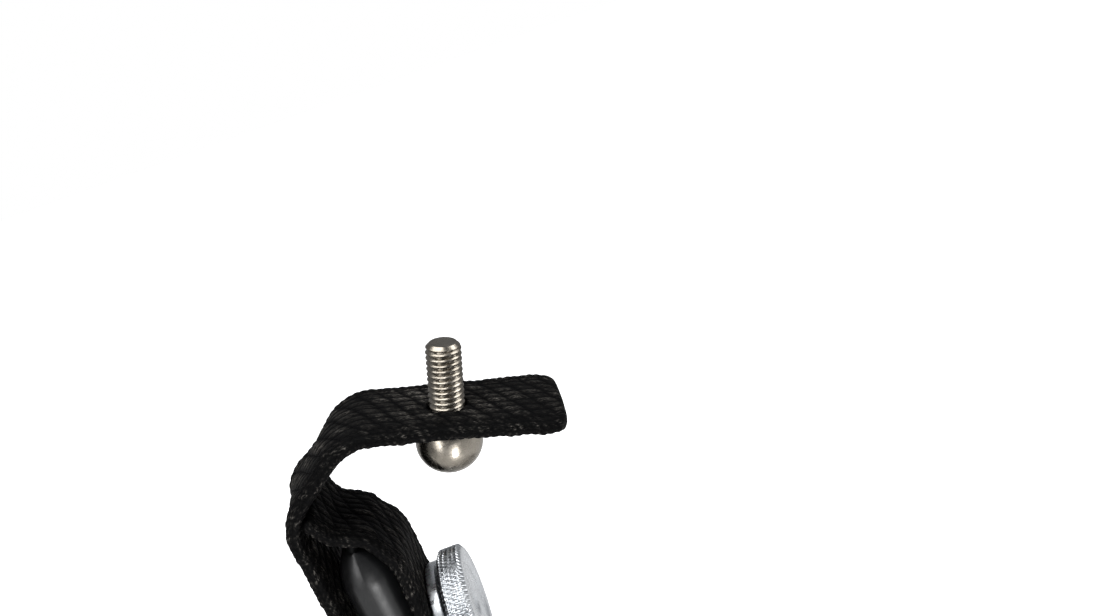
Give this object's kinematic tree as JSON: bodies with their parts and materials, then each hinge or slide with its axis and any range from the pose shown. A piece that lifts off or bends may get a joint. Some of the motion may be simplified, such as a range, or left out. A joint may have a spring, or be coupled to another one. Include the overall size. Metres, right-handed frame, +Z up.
{
  "type": "water bottle cage",
  "caption": "Wire water bottle cage on a moulded spine, held by knurled thumb screws and steadied by a webbing strap with a domed screw.",
  "frame": {"origin": "on the spine's flat back face, midway between the two thumb screws", "axes": "+X from the frame tube towards the bottle, +Y across the cage, +Z up along the spine and the bottle"},
  "size_m": [0.1103, 0.0902, 0.1884],
  "materials": {
    "gloss_black": "moulded gloss black",
    "rod_coat": "gloss black coated rod",
    "matt_black": "fine grained black moulding",
    "rubber": "matt black rubber",
    "webbing": "ribbed woven nylon webbing",
    "zinc": "bright zinc plated, knurled on the thumb screws",
    "stainless": "polished stainless, slightly dulled"
  },
  "bodies": {
    "cage": {"spine": "gloss_black", "upper_sleeve": "zinc", "lower_sleeve": "zinc", "lower_pad": "rubber", "strap_back": "webbing", "strap_front": "webbing", "left_rod": "rod_coat", "right_rod": "rod_coat", "left_ring_grip": "rubber", "right_ring_grip": "rubber", "left_shelf_grip": "rubber", "right_shelf_grip": "rubber", "front_clip": "matt_black", "shelf_clip": "matt_black", "rear_bumper": "rubber"},
    "strap_tab": {"strap_upper": "webbing"},
    "dome_washer": {"dome_washer": "stainless"},
    "dome_screw": {"dome_screw": "stainless"},
    "upper_washer": {"upper_washer": "zinc"},
    "upper_thumb_screw": {"upper_thumb_screw": "zinc"},
    "lower_washer": {"lower_washer": "zinc"},
    "lower_thumb_screw": {"lower_thumb_screw": "zinc"}
  },
  "joints": [
    {"name": "strap_fold", "type": "hinge", "parent": "cage", "child": "strap_tab", "pos_m": [-0.00135, 0, 0.05758], "axis": [0, -1, 0], "range_deg": [-18, 75]},
    {"name": "dome_screw_travel", "type": "slide", "parent": "strap_tab", "child": "dome_washer", "axis": [-0.2924, 0, -0.9563], "range_m": [0, 0.004]},
    {"name": "dome_screw_turn", "type": "hinge", "parent": "dome_washer", "child": "dome_screw", "pos_m": [0.0233, 0, 0.0652], "axis": [-0.2924, 0, -0.9563], "range_deg": [0, 1800]},
    {"name": "upper_screw_travel", "type": "slide", "parent": "cage", "child": "upper_washer", "axis": [1, 0, 0], "range_m": [0, 0.004]},
    {"name": "upper_screw_turn", "type": "hinge", "parent": "upper_washer", "child": "upper_thumb_screw", "pos_m": [0, 0, 0.032], "axis": [1, 0, 0], "range_deg": [0, 1800]},
    {"name": "lower_screw_travel", "type": "slide", "parent": "cage", "child": "lower_washer", "axis": [1, 0, 0], "range_m": [0, 0.004]},
    {"name": "lower_screw_turn", "type": "hinge", "parent": "lower_washer", "child": "lower_thumb_screw", "pos_m": [0, 0, -0.032], "axis": [1, 0, 0], "range_deg": [0, 1800]}
  ],
  "couplings": [
    {"joint": "dome_screw_turn", "follows": "dome_screw_travel", "rad_per_m": 7853.9},
    {"joint": "upper_screw_turn", "follows": "upper_screw_travel", "rad_per_m": 7853.9},
    {"joint": "lower_screw_turn", "follows": "lower_screw_travel", "rad_per_m": 7853.9}
  ]
}
